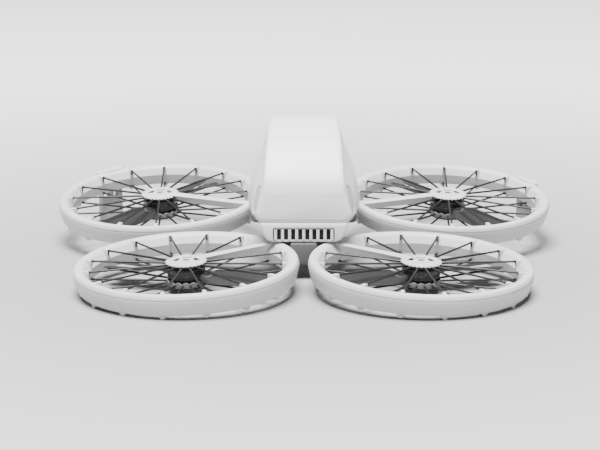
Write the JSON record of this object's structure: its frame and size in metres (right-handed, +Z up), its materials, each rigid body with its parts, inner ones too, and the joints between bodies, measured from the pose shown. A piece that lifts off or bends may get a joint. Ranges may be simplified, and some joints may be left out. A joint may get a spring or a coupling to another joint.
{
  "type": "folding mini camera drone",
  "caption": "Palm-sized folding quadcopter with full circular propeller guards, a slide-out battery and a nose gimbal camera.",
  "frame": {"origin": "on the floor, under the middle of the bounding box", "axes": "+Y towards the nose and camera, +X to the aircraft's right, +Z up"},
  "size_m": [0.2796, 0.2327, 0.0791],
  "materials": {
    "aluminium": "cast",
    "black_plastic": "satin",
    "board": "solder mask",
    "charcoal_plastic": "satin",
    "copper_winding": "enamelled copper wire",
    "dark_grey_plastic": "matt",
    "lens_glass": "polished",
    "pale_grey_plastic": "matt",
    "steel": "ground",
    "white_plastic": "fine matt texture"
  },
  "bodies": {
    "body": {"canopy": "white_plastic", "lower_shell": "pale_grey_plastic", "battery_contacts": "steel", "main_board": "board", "heat_sink": "aluminium", "vent_grille": "white_plastic", "belly_sensor_bar": "lens_glass", "front_window": "lens_glass", "nose_frame": "black_plastic", "rear_hinge_bracket": "dark_grey_plastic", "front_hinge_bracket": "dark_grey_plastic", "hinge_pin_rear_left": "steel", "hinge_pin_rear_right": "steel", "hinge_pin_front_left": "steel", "hinge_pin_front_right": "steel"},
    "guard_rear_left": {"guard_ring_rear_left": "white_plastic", "arm_rear_left": "white_plastic", "upper_spokes_rear_left": "charcoal_plastic", "lower_spokes_rear_left": "charcoal_plastic", "lower_hub_rear_left": "pale_grey_plastic", "motor_stator_rear_left": "copper_winding"},
    "rotor_rear_left": {"motor_bell_rear_left": "black_plastic", "propeller_rear_left": "charcoal_plastic"},
    "guard_rear_right": {"guard_ring_rear_right": "white_plastic", "arm_rear_right": "white_plastic", "upper_spokes_rear_right": "charcoal_plastic", "lower_spokes_rear_right": "charcoal_plastic", "lower_hub_rear_right": "pale_grey_plastic", "motor_stator_rear_right": "copper_winding"},
    "rotor_rear_right": {"motor_bell_rear_right": "black_plastic", "propeller_rear_right": "charcoal_plastic"},
    "guard_front_left": {"guard_ring_front_left": "white_plastic", "arm_front_left": "white_plastic", "upper_spokes_front_left": "charcoal_plastic", "lower_spokes_front_left": "charcoal_plastic", "lower_hub_front_left": "pale_grey_plastic", "motor_stator_front_left": "copper_winding", "landing_leg_left": "white_plastic"},
    "rotor_front_left": {"motor_bell_front_left": "black_plastic", "propeller_front_left": "charcoal_plastic"},
    "guard_front_right": {"guard_ring_front_right": "white_plastic", "arm_front_right": "white_plastic", "upper_spokes_front_right": "charcoal_plastic", "lower_spokes_front_right": "charcoal_plastic", "lower_hub_front_right": "pale_grey_plastic", "motor_stator_front_right": "copper_winding", "landing_leg_right": "white_plastic"},
    "rotor_front_right": {"motor_bell_front_right": "black_plastic", "propeller_front_right": "charcoal_plastic"},
    "battery": {"battery_shell": "white_plastic", "battery_cells": "black_plastic"},
    "battery_clip_left": {"battery_clip_left": "pale_grey_plastic"},
    "battery_clip_right": {"battery_clip_right": "pale_grey_plastic"},
    "gimbal_yaw": {"gimbal_yaw_arm": "pale_grey_plastic"},
    "gimbal_roll": {"gimbal_roll_arm": "pale_grey_plastic"},
    "camera": {"camera_housing": "dark_grey_plastic", "camera_lens": "lens_glass"},
    "power_button": {"power_button": "pale_grey_plastic"},
    "port_flap": {"port_flap": "pale_grey_plastic"}
  },
  "joints": [
    {"name": "fold_rear_left", "type": "hinge", "parent": "body", "child": "guard_rear_left", "pos_m": [-0.01045, -0.02253, 0.01357], "axis": [0.5326, -0.6431, -0.5502], "range_deg": [0, 110.2]},
    {"name": "spin_rear_left", "type": "hinge", "parent": "guard_rear_left", "child": "rotor_rear_left", "pos_m": [-0.06, -0.0587, 0.0163], "axis": [-0.0366, -0.0558, 0.9978], "continuous": true},
    {"name": "fold_rear_right", "type": "hinge", "parent": "body", "child": "guard_rear_right", "pos_m": [0.01045, -0.02253, 0.01357], "axis": [0.5326, 0.6431, 0.5502], "range_deg": [0, 110.2]},
    {"name": "spin_rear_right", "type": "hinge", "parent": "guard_rear_right", "child": "rotor_rear_right", "pos_m": [0.06, -0.0587, 0.0163], "axis": [0.0366, -0.0558, 0.9978], "continuous": true},
    {"name": "fold_front_left", "type": "hinge", "parent": "body", "child": "guard_front_left", "pos_m": [-0.02528, 0.03591, 0.01874], "axis": [-0.3544, -0.9059, 0.2318], "range_deg": [0, 96.2]},
    {"name": "spin_front_left", "type": "hinge", "parent": "guard_front_left", "child": "rotor_front_left", "pos_m": [-0.0822, 0.0587, 0.0276], "axis": [-0.0314, -0.1253, 0.9916], "continuous": true},
    {"name": "fold_front_right", "type": "hinge", "parent": "body", "child": "guard_front_right", "pos_m": [0.02528, 0.03591, 0.01874], "axis": [-0.3544, 0.9059, -0.2318], "range_deg": [0, 96.2]},
    {"name": "spin_front_right", "type": "hinge", "parent": "guard_front_right", "child": "rotor_front_right", "pos_m": [0.0822, 0.0587, 0.0276], "axis": [0.0314, -0.1253, 0.9916], "continuous": true},
    {"name": "battery_slide", "type": "slide", "parent": "body", "child": "battery", "axis": [0, -1, 0], "range_m": [0, 0.07]},
    {"name": "clip_press_left", "type": "slide", "parent": "battery", "child": "battery_clip_left", "axis": [1, 0, 0], "range_m": [0, 0.0012], "stiffness_N_per_m": 800, "springref_m": -0.0006},
    {"name": "clip_press_right", "type": "slide", "parent": "battery", "child": "battery_clip_right", "axis": [-1, 0, 0], "range_m": [0, 0.0012], "stiffness_N_per_m": 800, "springref_m": -0.0006},
    {"name": "gimbal_yaw", "type": "hinge", "parent": "body", "child": "gimbal_yaw", "pos_m": [0, 0.0513, 0.0518], "axis": [0, 0, 1], "range_deg": [-20, 20]},
    {"name": "gimbal_roll", "type": "hinge", "parent": "gimbal_yaw", "child": "gimbal_roll", "pos_m": [0, 0.0504, 0.043], "axis": [0, 1, 0], "range_deg": [-20, 20]},
    {"name": "camera_pitch", "type": "hinge", "parent": "gimbal_roll", "child": "camera", "pos_m": [0, 0.059, 0.043], "axis": [1, 0, 0], "range_deg": [-90, 30]},
    {"name": "power_press", "type": "slide", "parent": "body", "child": "power_button", "axis": [-1, 0, 0], "range_m": [0, 0.0006], "stiffness_N_per_m": 1000, "springref_m": -0.0003},
    {"name": "port_flap_hinge", "type": "hinge", "parent": "body", "child": "port_flap", "pos_m": [-0.0301, 0.029, 0.0383], "axis": [0, -1, 0], "range_deg": [0, 95]}
  ]
}
